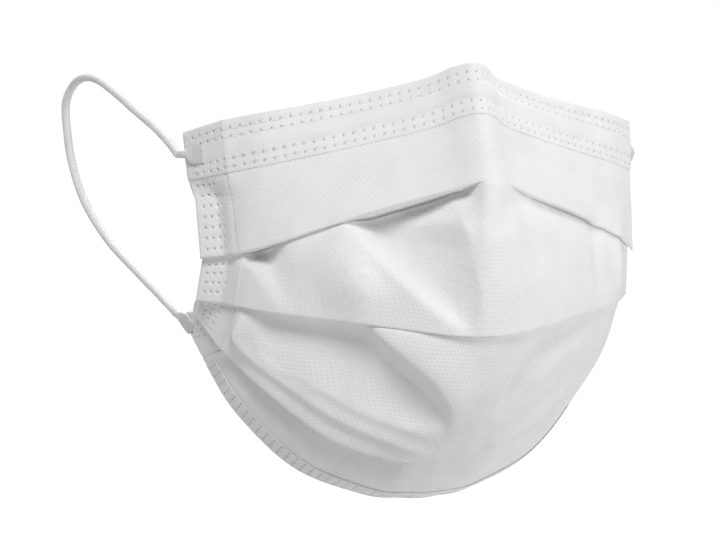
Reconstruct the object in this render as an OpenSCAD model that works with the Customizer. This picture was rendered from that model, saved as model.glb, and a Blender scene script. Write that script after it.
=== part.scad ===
// Pleated three-ply face mask with ear loops, in the shape that it takes on a face.
// The origin is the centre of the face seal, between the two side edges.
// The mask faces -Y, +Z is up and the plane X = 0 is its plane of symmetry. Millimetres.

/* [Fit on the face] */
// Width between the two side edges
worn_width = 143.3; // [132:0.1:154]
// How far the nose stands in front of the side edges
worn_depth = 54; // [46:1:62]
// Height from the nose bridge to the chin
worn_height = 125; // [114:1:136]

/* [Plies and pleats] */
// Thickness of the outer ply
outer_ply_t = 0.2; // [0.15:0.05:0.3]
// Thickness of the filter ply
filter_ply_t = 0.2; // [0.15:0.05:0.3]
// Thickness of the inner ply
inner_ply_t = 0.2; // [0.15:0.05:0.3]
// Clear gap between two panels at a pleat
pleat_gap = 0.8; // [0.7:0.05:1]
// Overlap of two panels beside the weld bands
side_lap = 10; // [8:0.5:11]
// Overlap of two panels in the middle, where the pleats are pulled open
middle_lap = 4; // [3:0.5:5]
// How far the moving panels stop short of the weld bands, across the mask
side_gap = 1.2; // [1.1:0.1:1.6]

/* [Soft folds on the left half] */
// Depth of the hollow beside the nose, in the second panel
nose_hollow = 5.5; // [4:0.5:6.5]
// Depth of the pocket at the cheek, in the second panel
cheek_pocket = 4.5; // [3:0.5:5]
// Depth of the hollow over the chin, in the third panel
chin_hollow = 5; // [3:0.5:6]
// How far the lowest panel sinks behind the pleat above it
lip_gap = 3.5; // [2:0.5:4]

/* [Hems and weld bands] */
// Width of the top hem
top_hem_w = 15; // [13:0.5:17]
// Width of the bottom hem
bottom_hem_w = 6; // [5:0.5:7]
// Thickness of the strips that the hems are folded from
strip_t = 0.2; // [0.15:0.05:0.3]
// Width of the weld band at each side
band_w = 16; // [14:0.5:18]

/* [Nose wire] */
// Length of the nose wire
wire_len = 100; // [90:1:110]
// Width of the nose wire
wire_w = 3.5; // [3:0.1:4]
// Thickness of the nose wire
wire_t = 0.4; // [0.3:0.05:0.6]
// Play of the nose wire in its channel, on each side
wire_play = 0.2; // [0.2:0.05:0.3]

/* [Ear loops] */
// Diameter of the elastic cord
cord_d = 2.5; // [2:0.1:3]
// Length of a weld patch
patch_len = 6; // [5:0.5:7]
// Width of a weld patch
patch_w = 4.5; // [4:0.5:5]
// Thickness of a weld patch
patch_t = 0.8; // [0.6:0.1:1]
// Height of the knurls on a weld patch
knurl_h = 0.3; // [0.2:0.1:0.4]
// Gap between a cord's end and the melted stub that it comes out of
cord_gap = 0.3; // [0.3:0.05:0.4]

/* [Hidden] */

ply_t = [outer_ply_t, filter_ply_t, inner_ply_t];
stack_t = outer_ply_t + filter_ply_t + inner_ply_t;
panel_step = stack_t + pleat_gap;
channel_h = wire_t + 2 * wire_play;
cloth = [0.97, 0.97, 0.97];
lining = [0.93, 0.95, 0.97];
melt = [0.9, 0.9, 0.9];

// The five rails that the panels hang between, for the right half of a medium size.
// Each has six stations: nose ridge, its edge, its foot, mid cheek, outer cheek and the bend
// where the weld band turns back. The last value is the direction of the band from there.
top_rail = [
    [0, -43, 45.5], [5, -40.5, 44.5], [12.5, -35.5, 41], [33, -29, 36], [54, -23.5, 32], [65.5, -17, 29.5],
    [6, 14, -3.5]
];
first_fold = [
    [0, -54, 12], [5, -52.5, 11.5], [13.5, -48, 9], [34, -41, 3], [53, -32, -4], [63.5, -23, -8],
    [4.5, 15.5, -1.5]
];
second_fold = [
    [0, -53, -31], [5.5, -52.5, -31], [15, -50, -30], [35, -41, -27], [54, -29.5, -24.5],
    [63.5, -19.5, -22.5], [4, 15.5, 1]
];
third_fold = [
    [0, -27, -69], [6, -27, -69], [16, -26, -68], [36, -23, -60], [54, -16, -45], [63, -9, -36],
    [4.5, 13, 11]
];
bottom_rail = [
    [0, -8, -79.5], [6, -7.5, -79], [17, -6, -77.5], [38, -4, -69], [55, -1, -53], [63, 4, -39],
    [4, 8, 13]
];
rails = [top_rail, first_fold, second_fold, third_fold, bottom_rail];
last_station = 5;

// The rails are stretched until the mask has the sizes set above. The bands keep their width.
band_reach = band_w * direction(top_rail[last_station + 1]).x;
size_ratio = [
    (worn_width / 2 - band_reach) / top_rail[last_station].x,
    worn_depth / -first_fold[0].y,
    worn_height / (top_rail[0].z - bottom_rail[0].z)
];

// Outward bulge of each panel between its rails, in the middle of the mask
panel_bulge = [0, 2.5, 3.5, 1.5];
// Rows of each panel, as shares of the way down to the row where the pleat below begins
panel_rows = [[], [0.2, 0.45, 0.7, 0.9], [0.15, 0.4, 0.65, 0.85], [0.5]];
// Soft folds: panel, depth, width above and below the line, and the line's points (station, share of
// the panel's height, share of the depth)
soft_folds = [
    [1, nose_hollow, [14, 12], [[-2.9, 0, 0.9], [-2.5, 0.25, 1], [-2.1, 0.5, 1], [-1.7, 0.7, 0.8]]],
    [1, cheek_pocket, [10, 6], [[-4.6, 0, 1], [-4.2, 0.4, 0.5], [-3.8, 0.8, 0]]],
    [2, chin_hollow, [8, 9], [[-4.7, 0, 0.4], [-4, 0, 0.6], [-3.4, 0, 0.8]]],
    [2, chin_hollow, [7, 15],
        [[-3.4, 0.02, 0.8], [-2.8, 0.13, 1], [-2.3, 0.31, 1], [-1.75, 0.46, 0.8], [-1, 0.6, 0.1]]],
    [3, lip_gap, [6, 10], [[-4.7, 0, 0.5], [-3.3, 0, 1], [-2.6, 0, 0.8], [-1.8, 0, 0]]]
];
// Each panel is flat again from this share of its height, so that the next one can swing behind it.
// The folds fade out over the share before that.
flat_from = 0.8;
fade_share = 0.15;

// Columns across the mask, in stations: the plies end at the bends, the bands go on to the side edges
function both_sides(steps) = concat([for (i = [len(steps) - 1 : -1 : 1]) -steps[i]], steps);
half_steps = [0, 0.5, 1, 1.5, 2, 2.5, 3, 3.5, 4, 4.5];
band_steps = [5, 5.5, 6];
band_cols = len(band_steps) - 1;
root_steps = both_sides(concat(half_steps, band_steps));
last_step_w = station(bottom_rail, last_station).x - station(bottom_rail, last_station - 1).x;
moving_steps = both_sides(concat(half_steps, [last_station - side_gap / last_step_w]));

// ---- Curves ----

function station(rail, i) = [for (a = [0 : 2]) rail[i][a] * size_ratio[a]];
function direction(v) = v / norm(v);
function mirrored(p, side) = [p.x * side, p.y, p.z];

// Point before the first station and past the last one, so that the curve has an end slope
function control(rail, i) =
    i < 0 ? mirrored(station(rail, -i), -1)
    : i > last_station ? 2 * station(rail, last_station) - station(rail, last_station - 1)
    : station(rail, i);

function smooth(a, b, c, d, f) =
    0.5 * (2 * b + (c - a) * f + (2 * a - 5 * b + 4 * c - d) * f * f + (3 * b - a - 3 * c + d) * f * f * f);

function half_point(rail, t) =
    let (i = min(floor(t), last_station - 1))
    t > last_station
        ? station(rail, last_station) + (t - last_station) * band_w * direction(rail[last_station + 1])
        : smooth(control(rail, i - 1), control(rail, i), control(rail, i + 1), control(rail, i + 2), t - i);

function rail_point(rail, t) = mirrored(half_point(rail, abs(t)), t < 0 ? -1 : 1);
function rail_row(rail, steps) = [for (t = steps) rail_point(rail, t)];

// ---- Grids of points: rows from top to bottom, columns from left to right ----

function unit_normal(g, i, j) =
    let (
        rows = len(g) - 1,
        cols = len(g[0]) - 1,
        across = g[i][min(j + 1, cols)] - g[i][max(j - 1, 0)],
        down = g[min(i + 1, rows)][j] - g[max(i - 1, 0)][j]
    )
    direction(cross(across, down));

// Unit vectors that point into the cloth, away from the air in front
function inward(g) = [for (i = [0 : len(g) - 1]) [for (j = [0 : len(g[0]) - 1]) unit_normal(g, i, j)]];
function sunk(g, n, depth) =
    [for (i = [0 : len(g) - 1]) [for (j = [0 : len(g[0]) - 1]) g[i][j] + n[i][j] * depth]];
function columns(g, first, last) = [for (row = g) [for (j = [first : last]) row[j]]];
function last_rows(g, count) = [for (i = [len(g) - count : len(g) - 1]) g[i]];

// Overlap of two panels at station t
function lap(t) = middle_lap + (side_lap - middle_lap) * pow(min(abs(t) / last_station, 1), 2);

// Depth of the soft folds at station t and share f of panel k's height
function laid_flat(k, t, f) =
    let (lower = rail_point(rails[k + 1], t)) [lower.x, norm(lower - rail_point(rails[k], t)) * f];
function fold_depth(k, t, f) = max([0, for (fold = soft_folds) if (fold[0] == k)
    for (i = [1 : len(fold[3]) - 1])
        let (
            p = laid_flat(k, t, f),
            a = fold[3][i - 1],
            b = fold[3][i],
            from = laid_flat(k, a.x, a.y),
            along = laid_flat(k, b.x, b.y) - from,
            run = min(max((p - from) * along / (along * along), 0), 1),
            off = p - from - along * run,
            width = along.x * off.y > along.y * off.x ? fold[2].y : fold[2].x,
            far = min(norm(off) / width, 1),
            fade = min(max((flat_from - f) / fade_share, 0), 1)
        )
        fold[1] * (a.z + (b.z - a.z) * run) * (1 + cos(180 * far)) / 2 * fade]);
function fold_depths(k, steps, shares) = [for (j = [0 : len(steps) - 1]) fold_depth(k, steps[j], shares[j])];

// One row of a panel, at these shares of the way from the upper row to the lower one, bulged outward
// and pressed in by the soft folds. The bulge dies out towards the two ends of the row.
function panel_row(upper, lower, shares, bulge = 0, pressed = []) = [
    for (j = [0 : len(upper) - 1])
        let (
            last = len(upper) - 1,
            across = upper[min(j + 1, last)] - upper[max(j - 1, 0)],
            out = direction(cross(lower[j] - upper[j], across)),
            fade = 1 - pow(2 * j / last - 1, 2),
            f = shares[j]
        )
        upper[j] + (lower[j] - upper[j]) * f
            + out * (bulge * fade * 4 * f * (1 - f) - (len(pressed) > 0 ? pressed[j] : 0))
];

// Shares at which a row lies these distances in mm above the lower one
function shares_above(upper, lower, dist) =
    [for (j = [0 : len(upper) - 1]) 1 - dist[j] / norm(lower[j] - upper[j])];

// Outer face of panel k, from 0 for the upper one to 3 for the lowest. Its first two rows lie behind
// the panel above.
function panel_grid(k, steps) =
    let (
        cols = [0 : len(steps) - 1],
        above = k == 0 ? [] : panel_grid(k - 1, steps),
        under = k == 0 ? [] : last_rows(sunk(above, inward(above), panel_step), 2),
        under_in = k == 0 ? [] : last_rows(inward(above), 1)[0],
        upper = k == 0 ? rail_row(top_rail, steps) : under[1],
        lower = rail_row(rails[k + 1], steps),
        bulge = panel_bulge[k],
        gaping = fold_depths(k, steps, [for (j = cols) 0]),
        lap_shares = shares_above(upper, lower, [for (t = steps) k == 3 ? bottom_hem_w : lap(t)])
    )
    concat(
        k == 0
            ? [upper, panel_row(upper, lower, [for (j = cols) top_hem_w / norm(lower[j] - upper[j])])]
            : [under[0], [for (j = cols) upper[j] + under_in[j] * gaping[j]]],
        [for (r = panel_rows[k])
            panel_row(upper, lower, lap_shares * r, bulge, fold_depths(k, steps, lap_shares * r))],
        [panel_row(upper, lower, lap_shares, k == 3 ? 0 : bulge), lower]
    );

root_grid = panel_grid(0, root_steps);
root_in = inward(root_grid);
root_last = len(root_steps) - 1;

// ---- Solids ----

// Closed shell between an outer and an inner grid of the same size. Its facets are split along the
// other diagonal in the strips between rows that turned names.
module shell(outer, inner, turned = []) {
    rows = len(outer);
    cols = len(outer[0]);
    count = rows * cols;
    function id(i, j) = i * cols + j;
    function wall(a, b) = [[a, b, b + count], [a, b + count, a + count]];
    function skin(a, b, c) = [[a, b, c], [a + count, c + count, b + count]];
    function patch(i, j) =
        let (a = id(i, j), b = id(i, j + 1), c = id(i + 1, j + 1), d = id(i + 1, j))
        len(search(i, turned)) > 0
            ? concat(skin(a, b, d), skin(b, c, d))
            : concat(skin(a, b, c), skin(a, c, d));
    faces = concat(
        [for (i = [0 : rows - 2]) for (j = [0 : cols - 2]) each patch(i, j)],
        [for (j = [0 : cols - 2]) each wall(id(0, j + 1), id(0, j))],
        [for (j = [0 : cols - 2]) each wall(id(rows - 1, j), id(rows - 1, j + 1))],
        [for (i = [0 : rows - 2]) each wall(id(i, 0), id(i + 1, 0))],
        [for (i = [0 : rows - 2]) each wall(id(i + 1, cols - 1), id(i, cols - 1))]
    );
    polyhedron(points = concat([for (row = outer) each row], [for (row = inner) each row]), faces = faces);
}

// Ply number layer of the cloth whose outer face is grid g, with its inward vectors n
module ply(g, n, layer) {
    depth = layer == 0 ? 0 : layer == 1 ? ply_t[0] : ply_t[0] + ply_t[1];
    shell(sunk(g, n, depth), sunk(g, n, depth + ply_t[layer]));
}

module upper_ply(layer) {
    first = band_cols;
    last = root_last - band_cols;
    ply(columns(root_grid, first, last), columns(root_in, first, last), layer);
}

module moving_ply(k, layer) {
    g = panel_grid(k, moving_steps);
    ply(g, inward(g), layer);
}

// Strip folded over the free edge of the cloth. edge is the row at the free edge and line the row
// where the strip ends. The front leaf stands off the cloth by gap, the back leaf lies on it.
module folded_strip(edge, edge_in, line, line_in, gap, at_top) {
    cols = len(edge) - 1;
    past = [for (j = [0 : cols]) edge[j] + direction(edge[j] - line[j]) * strip_t];
    function leaf(row, n, depth) = [for (j = [0 : cols]) row[j] + n[j] * depth];
    front = -gap;
    back = stack_t;
    outer = [
        leaf(line, line_in, front - strip_t), leaf(past, edge_in, front - strip_t),
        leaf(past, edge_in, back + strip_t), leaf(line, line_in, back + strip_t)
    ];
    inner = [
        leaf(line, line_in, front), leaf(edge, edge_in, front),
        leaf(edge, edge_in, back), leaf(line, line_in, back)
    ];
    flip = at_top ? [3, 2, 1, 0] : [0, 1, 2, 3];
    shell([for (i = flip) outer[i]], [for (i = flip) inner[i]], at_top ? [0] : [2]);
}

module top_hem() {
    color(cloth) folded_strip(root_grid[0], root_in[0], root_grid[1], root_in[1], channel_h, true);
}

module bottom_hem() {
    g = panel_grid(3, moving_steps);
    n = inward(g);
    last = len(g) - 1;
    color(cloth) folded_strip(g[last], n[last], g[last - 1], n[last - 1], 0, false);
}

// Flat wire in the middle of the top hem, between the outer ply and the hem's front leaf
module nose_wire() {
    top = root_grid[0];
    line = root_grid[1];
    cols = len(top);
    edge_at = (top_hem_w - wire_w) / 2;
    function row(dist) = [for (j = [0 : cols - 1]) top[j] + direction(line[j] - top[j]) * dist];
    function row_in(dist) =
        [for (j = [0 : cols - 1]) root_in[0][j] + (root_in[1][j] - root_in[0][j]) * dist / top_hem_w];
    upper = row(edge_at);
    lower = row(edge_at + wire_w);
    upper_in = row_in(edge_at);
    lower_in = row_in(edge_at + wire_w);
    // Length along the wire from the nose ridge to column j, and a point at length dist from it
    mid = (cols - 1) / 2;
    function run(j) = j <= mid ? 0 : norm(upper[j] - upper[j - 1]) + run(j - 1);
    runs = [for (j = [mid : cols - 1]) run(j)];
    function at(row, dist, k = 1) =
        runs[k] >= dist || k == len(runs) - 1
            ? row[mid + k - 1]
                + (row[mid + k] - row[mid + k - 1]) * (dist - runs[k - 1]) / (runs[k] - runs[k - 1])
            : at(row, dist, k + 1);
    steps = both_sides(concat([for (r = runs) if (r < wire_len / 2 - 1) r], [wire_len / 2]));
    function wire_row(row, row_in, height) = [
        for (s = steps)
            mirrored(at(row, abs(s)) - at(row_in, abs(s)) * height, s < 0 ? -1 : 1)
    ];
    function face(height) = [wire_row(upper, upper_in, height), wire_row(lower, lower_in, height)];
    color("silver") shell(face(wire_play + wire_t), face(wire_play));
}

// ---- Weld bands ----

function band_span(side) = side < 0 ? [for (i = [band_cols : -1 : 0]) -band_steps[i]] : band_steps;

// The band runs on from the upper panel's rows to the lower corner
function band_grid(side) =
    let (
        span = band_span(side),
        lower = rail_row(bottom_rail, span),
        above = rail_row(third_fold, span),
        first = side < 0 ? 0 : root_last - band_cols,
        hem_row = panel_row(above, lower, shares_above(above, lower, [for (t = span) bottom_hem_w]))
    )
    concat(
        columns(root_grid, first, first + band_cols),
        [rail_row(second_fold, span), above, hem_row, lower]
    );

function band_in(side) =
    let (first = side < 0 ? 0 : root_last - band_cols)
    concat(columns(root_in, first, first + band_cols), last_rows(inward(band_grid(side)), 4));

// All plies pressed together, with the end of the bottom hem folded over the lower corner
module weld_band(side) {
    g = band_grid(side);
    n = band_in(side);
    last = len(g) - 1;
    color(cloth) {
        shell(g, sunk(g, n, stack_t));
        folded_strip(g[last], n[last], g[last - 1], n[last - 1], 0, false);
    }
}

// ---- Ear loops ----

// Routes of the cord, chosen by hand for a medium size, from the upper weld to the lower one
left_route = fitted([
    [-73.5, -3, 20], [-74.3, 1.5, 23.2], [-75.6, 9, 27.4], [-77.5, 19, 32], [-79.5, 31, 37.5],
    [-81, 42, 41.5], [-82, 51, 42.5], [-82.5, 60, 40.5], [-83, 66, 35], [-82, 68, 27], [-80.5, 68, 17],
    [-78.5, 62, 5], [-75.5, 50, -6], [-72.5, 33, -15], [-70.5, 22, -20.5], [-69, 13, -25]
]);
right_route = fitted([
    [73.5, -3, 20], [74.3, 2, 22], [75.6, 9.5, 25], [77.5, 20, 28.5], [79.5, 32, 31.5], [81, 43, 33],
    [82, 53, 32.5], [82.8, 62.5, 29.5], [83, 69.5, 23.5], [82.5, 72.5, 15], [81.5, 71.5, 6], [79.5, 65, -3.5],
    [77, 54, -11], [73.5, 38, -17], [71, 25, -21.5], [69, 13, -25]
]);
function fitted(route) = [for (i = [0 : len(route) - 1]) station(route, i)];
cord_sides = 8;
rings_per_step = 2;

function route_point(route, i) =
    i < 0 ? 2 * route[0] - route[1]
    : i > len(route) - 1 ? 2 * route[len(route) - 1] - route[len(route) - 2]
    : route[i];
function route_curve(route) = concat(
    [for (i = [0 : len(route) - 2]) for (k = [0 : rings_per_step - 1])
        let (before = route_point(route, i - 1), after = route_point(route, i + 2))
        smooth(before, route[i], route[i + 1], after, k / rings_per_step)],
    [route[len(route) - 1]]
);

// Tube along a route with a round end at each weld, about which the loop swings
module cord(route) {
    curve = route_curve(route);
    last = len(curve) - 1;
    r = cord_d / 2;
    function heading(i) = direction(curve[min(i + 1, last)] - curve[max(i - 1, 0)]);
    function side_of(i) = direction(cross(heading(i), [1, 0, 0]));
    function ring(p, i, radius) =
        let (u = side_of(i), v = cross(heading(i), u))
        [for (a = [0 : cord_sides - 1])
            p + radius * (cos(a * 360 / cord_sides) * u + sin(a * 360 / cord_sides) * v)];
    round_end = [80, 45, 20];
    rings = concat(
        [for (a = round_end) ring(curve[0] - heading(0) * r * sin(a), 0, r * cos(a))],
        [for (i = [0 : last]) ring(curve[i], i, r)],
        [for (k = [len(round_end) - 1 : -1 : 0])
            ring(curve[last] + heading(last) * r * sin(round_end[k]), last, r * cos(round_end[k]))]
    );
    count = len(rings);
    function id(i, a) = i * cord_sides + a % cord_sides;
    polyhedron(
        points = [for (one = rings) each one],
        faces = concat(
            [[for (a = [0 : cord_sides - 1]) a]],
            [[for (a = [cord_sides - 1 : -1 : 0]) id(count - 1, a)]],
            [for (i = [0 : count - 2]) for (a = [0 : cord_sides - 1])
                each [[id(i, a), id(i + 1, a + 1), id(i, a + 1)], [id(i, a), id(i + 1, a), id(i + 1, a + 1)]]]
        )
    );
}

// ---- Loop welds ----

// Places its children with their X axis along ahead and their Z axis along out
module placed(at, ahead, out) {
    x = direction(ahead);
    z = direction(out - (out * x) * x);
    y = cross(z, x);
    multmatrix([
        [x.x, y.x, z.x, at.x],
        [x.y, y.y, z.y, at.y],
        [x.z, y.z, z.z, at.z],
        [0, 0, 0, 1]
    ])
        children();
}

module rod(from, to, d) {
    placed(from, cross(to - from, [0, 0, 1]), to - from) cylinder(d = d, h = norm(to - from), $fn = 24);
}

// Knurled patch of melted cord on the cloth at point p, and the stub that reaches to the cord's end
module loop_weld(p, ahead, out, cord_end) {
    seat = 0.15;
    stub_d = 1.2;
    knurls = [3, 4];
    pitch = [patch_len / (knurls.x + 1), patch_w / (knurls.y + 1)];
    side = min(pitch.x, pitch.y) * 0.6;
    start = p + direction(out) * (seat + stub_d / 2);
    reach = norm(cord_end - start) - cord_d / 2 - cord_gap;
    color(melt) {
        placed(p, ahead, out) translate([-patch_len / 2, -patch_w / 2, seat]) {
            cube([patch_len, patch_w, patch_t]);
            for (i = [1 : knurls.x], k = [1 : knurls.y])
                translate([i * pitch.x - side / 2, k * pitch.y - side / 2, patch_t])
                    cube([side, side, knurl_h]);
        }
        rod(start, start + direction(cord_end - start) * reach, stub_d);
    }
}

// Point on the band at share f of its width and distance dist from row i towards row k
module band_weld(side, i, k, dist, f, depth, cord_end) {
    g = band_grid(side);
    n = band_in(side);
    cols = side < 0 ? [band_cols, 0] : [0, band_cols];
    function across(row) = row[cols[0]] + (row[cols[1]] - row[cols[0]]) * f;
    from = across(g[i]);
    to = across(g[k]);
    out = -across(n[i]);
    loop_weld(from + direction(to - from) * dist + out * depth, g[i][cols[1]] - g[i][cols[0]], out, cord_end);
}

module upper_weld(side, route) {
    band_weld(side, 0, 1, top_hem_w * 0.42, 0.68, channel_h + strip_t, route[0]);
}

module lower_weld(side, route) {
    rows = len(band_grid(side));
    band_weld(side, rows - 1, rows - 2, bottom_hem_w / 2, 0.7, strip_t, route[len(route) - 1]);
}

// ---- Nodes ----

module outer_ply_upper() { color(cloth) upper_ply(0); }
module filter_ply_upper() { color(lining) upper_ply(1); }
module inner_ply_upper() { color(lining) upper_ply(2); }
module outer_ply_second() { color(cloth) moving_ply(1, 0); }
module filter_ply_second() { color(lining) moving_ply(1, 1); }
module inner_ply_second() { color(lining) moving_ply(1, 2); }
module outer_ply_third() { color(cloth) moving_ply(2, 0); }
module filter_ply_third() { color(lining) moving_ply(2, 1); }
module inner_ply_third() { color(lining) moving_ply(2, 2); }
module outer_ply_lower() { color(cloth) moving_ply(3, 0); }
module filter_ply_lower() { color(lining) moving_ply(3, 1); }
module inner_ply_lower() { color(lining) moving_ply(3, 2); }
module left_weld_band() { weld_band(-1); }
module right_weld_band() { weld_band(1); }
module upper_left_loop_weld() { upper_weld(-1, left_route); }
module lower_left_loop_weld() { lower_weld(-1, left_route); }
module upper_right_loop_weld() { upper_weld(1, right_route); }
module lower_right_loop_weld() { lower_weld(1, right_route); }
module left_ear_loop() { color(cloth) cord(left_route); }
module right_ear_loop() { color(cloth) cord(right_route); }

outer_ply_upper();
filter_ply_upper();
inner_ply_upper();
top_hem();
nose_wire();
left_weld_band();
right_weld_band();
upper_left_loop_weld();
lower_left_loop_weld();
upper_right_loop_weld();
lower_right_loop_weld();
outer_ply_second();
filter_ply_second();
inner_ply_second();
outer_ply_third();
filter_ply_third();
inner_ply_third();
outer_ply_lower();
filter_ply_lower();
inner_ply_lower();
bottom_hem();
left_ear_loop();
right_ear_loop();
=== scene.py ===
# %% [markdown]
# # A pleated three-ply face mask
# The mask is cloth on a wire: three plies of spunbond and meltblown polypropylene, folded into three
# pleats, welded down both sides and bound at the top and bottom. It has the shape that it takes on a
# face. Its solids come first, as a frame that carries the cloth and is never changed.

# %% Load the frame
import math

import bpy
import numpy as np
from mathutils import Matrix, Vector


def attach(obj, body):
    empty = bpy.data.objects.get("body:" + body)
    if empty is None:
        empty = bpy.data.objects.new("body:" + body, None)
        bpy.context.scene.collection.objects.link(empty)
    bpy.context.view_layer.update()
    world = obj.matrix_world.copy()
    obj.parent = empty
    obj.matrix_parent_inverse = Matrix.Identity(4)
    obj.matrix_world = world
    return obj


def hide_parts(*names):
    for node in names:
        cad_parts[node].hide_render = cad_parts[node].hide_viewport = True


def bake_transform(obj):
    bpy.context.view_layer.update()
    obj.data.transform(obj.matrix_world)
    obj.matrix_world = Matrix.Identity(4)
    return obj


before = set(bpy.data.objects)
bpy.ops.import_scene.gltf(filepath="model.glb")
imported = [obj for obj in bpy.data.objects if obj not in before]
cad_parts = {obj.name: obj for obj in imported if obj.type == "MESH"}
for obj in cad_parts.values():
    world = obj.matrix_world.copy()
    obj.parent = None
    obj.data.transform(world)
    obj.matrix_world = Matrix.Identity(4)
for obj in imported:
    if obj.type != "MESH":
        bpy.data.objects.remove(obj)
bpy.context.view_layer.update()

# %% [markdown]
# ## The camera
# A long lens from 0.8 m flattens the mask as a product view does. It stands a little to the left of
# the mask's front and almost level with it.

# %% Camera
MM = 0.001


def look_at(thing, place, target):
    """Puts the thing in the scene at a place, turned to the target."""
    thing.location = place
    thing.rotation_mode = "QUATERNION"
    thing.rotation_quaternion = (Vector(target) - Vector(place)).to_track_quat("-Z", "Y")
    bpy.context.scene.collection.objects.link(thing)


lens = bpy.data.cameras.new("studio_camera")
lens.sensor_width = 36
lens.lens = 138.24
lens.clip_start = 0.05
lens.clip_end = 20
camera = bpy.data.objects.new("studio_camera", lens)
look_at(camera, (-0.3577, -0.7346, 0.0256), (-0.0201, -0.0105, -0.0163))
bpy.context.scene.camera = camera
print("camera", [round(x, 3) for x in camera.location])

# %% [markdown]
# ## Small tools for curves and meshes
# Every cloth piece here is a grid of points with a front and a back, closed round its rim. One
# function turns such a grid into a mesh, with a UV map in real metres, so that a pattern keeps its
# size on the cloth wherever the cloth bends. Another makes the cords' tubes. Points are in mm until
# they go into a mesh.

# %% Vectors and curves


def unit(v):
    return v / np.maximum(np.linalg.norm(v, axis=-1, keepdims=True), 1e-12)


def smoothstep(x, low, high):
    s = np.clip((np.asarray(x, float) - low) / (high - low), 0, 1)
    return s * s * (3 - 2 * s)


def spline(a, b, c, d, f):
    """The place a share f of the way from b to c, on the smooth curve through all four points."""
    square, cube = 2 * a - 5 * b + 4 * c - d, 3 * b - a - 3 * c + d
    return 0.5 * (2 * b + (c - a) * f + square * f**2 + cube * f**3)


def through(points, steps):
    """Smooth curve through all the points, with this many steps between two of them."""
    p = np.array(points, float)
    p = np.vstack([2 * p[0] - p[1], p, 2 * p[-1] - p[-2]])
    spans = zip(p[:-3], p[1:-2], p[2:-1], p[3:])
    return np.array([spline(*span, f) for span in spans for f in np.arange(steps) / steps] + [p[-2]])


def run_along(points, axis=0):
    """Distance from the first point along the row or column."""
    gaps = np.linalg.norm(np.diff(points, axis=axis), axis=-1)
    start = np.zeros_like(np.take(gaps, [0], axis=axis))
    return np.concatenate([start, np.cumsum(gaps, axis=axis)], axis=axis)


# %% Meshes from grids


def linked(name, data):
    thing = bpy.data.objects.new(name, data)
    bpy.context.scene.collection.objects.link(thing)
    return thing


def smooth_object(mesh, material):
    """An object of the mesh and by its name, with smooth shading and one material."""
    mesh.polygons.foreach_set("use_smooth", np.ones(len(mesh.polygons), bool))
    mesh.materials.append(material)
    return linked(mesh.name, mesh)


def grid_faces(rows, cols, first=0):
    """Faces of a closed sheet: its front, its back and the rim between them."""
    count = rows * cols
    n = np.arange(count).reshape(rows, cols) + first
    a, b, c, d = n[:-1, :-1], n[:-1, 1:], n[1:, 1:], n[1:, :-1]
    front = np.stack([a, d, c, b], -1).reshape(-1, 4)
    back = np.stack([a, b, c, d], -1).reshape(-1, 4) + count
    edges = [(n[0, :-1], n[0, 1:]), (n[-1, 1:], n[-1, :-1]), (n[1:, 0], n[:-1, 0]), (n[:-1, -1], n[1:, -1])]
    return np.vstack([front, back] + [np.stack([p, q, q + count, p + count], -1) for p, q in edges])


def sheet_object(name, fronts, backs, material):
    """One object from one or more sheets, each a grid of front points and a grid of back points."""
    points, faces, flat, first = [], [], [], 0
    for front, back in zip(fronts, backs):
        rows, cols = front.shape[:2]
        u = run_along(front, 1)
        u = u - u[:, [cols // 2]]
        uv = np.stack([u, -run_along(front, 0)], -1)
        points += [front.reshape(-1, 3), back.reshape(-1, 3)]
        flat += [uv.reshape(-1, 2)] * 2
        faces.append(grid_faces(rows, cols, first))
        first += 2 * rows * cols
    mesh = bpy.data.meshes.new(name)
    mesh.from_pydata((np.vstack(points) * MM).tolist(), [], np.vstack(faces).tolist())
    corner = np.zeros(len(mesh.loops), int)
    mesh.loops.foreach_get("vertex_index", corner)
    layer = mesh.uv_layers.new(name="cloth")
    layer.data.foreach_set("uv", (np.vstack(flat)[corner] * MM).ravel())
    print(name, len(mesh.polygons), "faces")
    return smooth_object(mesh, material)


def tube_object(name, rings, material):
    """One closed tube through rings of points, each of which ends where it starts."""
    count, sides = rings.shape[0], rings.shape[1] - 1
    i, j = np.meshgrid(np.arange(count - 1), np.arange(sides), indexing="ij")
    after = (j + 1) % sides
    here, ahead = i * sides, (i + 1) * sides
    quads = np.stack([here + j, here + after, ahead + after, ahead + j], -1)
    caps = [list(range(sides))[::-1], list(range((count - 1) * sides, count * sides))]
    mesh = bpy.data.meshes.new(name)
    points = rings[:, :-1].reshape(-1, 3) * MM
    mesh.from_pydata(points.tolist(), [], quads.reshape(-1, 4).tolist() + caps)
    return smooth_object(mesh, material)


# %% [markdown]
# ## Colours and nodes
# Colours are written as they look on a screen, as hex values, and one function turns them to the
# linear values that Blender counts in. One more adds a node with its settings and its links, and
# short ones add what several materials share.

# %% Colours and nodes


def colour(hex_value):
    parts = [int(hex_value[i : i + 2], 16) / 255 for i in (1, 3, 5)]
    return [c / 12.92 if c <= 0.04045 else ((c + 0.055) / 1.055) ** 2.4 for c in parts] + [1]


def add_node(tree, kind, settings=None, **inputs):
    """inputs are values, or sockets to link from. in_0 is the input's number, not its name."""
    node = tree.nodes.new(kind)
    for key, value in (settings or {}).items():
        setattr(node, key, value)
    for key, value in inputs.items():
        socket = node.inputs[int(key[3:]) if key.startswith("in_") else key.replace("_", " ")]
        if isinstance(value, bpy.types.NodeSocket):
            tree.links.new(value, socket)
        else:
            socket.default_value = value
    return node


def maths_in(tree):
    """A function that adds one step of arithmetic, on values or sockets, to the tree."""

    def maths(operation, a, b=0.0):
        return add_node(tree, "ShaderNodeMath", {"operation": operation}, in_0=a, in_1=b).outputs[0]

    return maths


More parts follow.
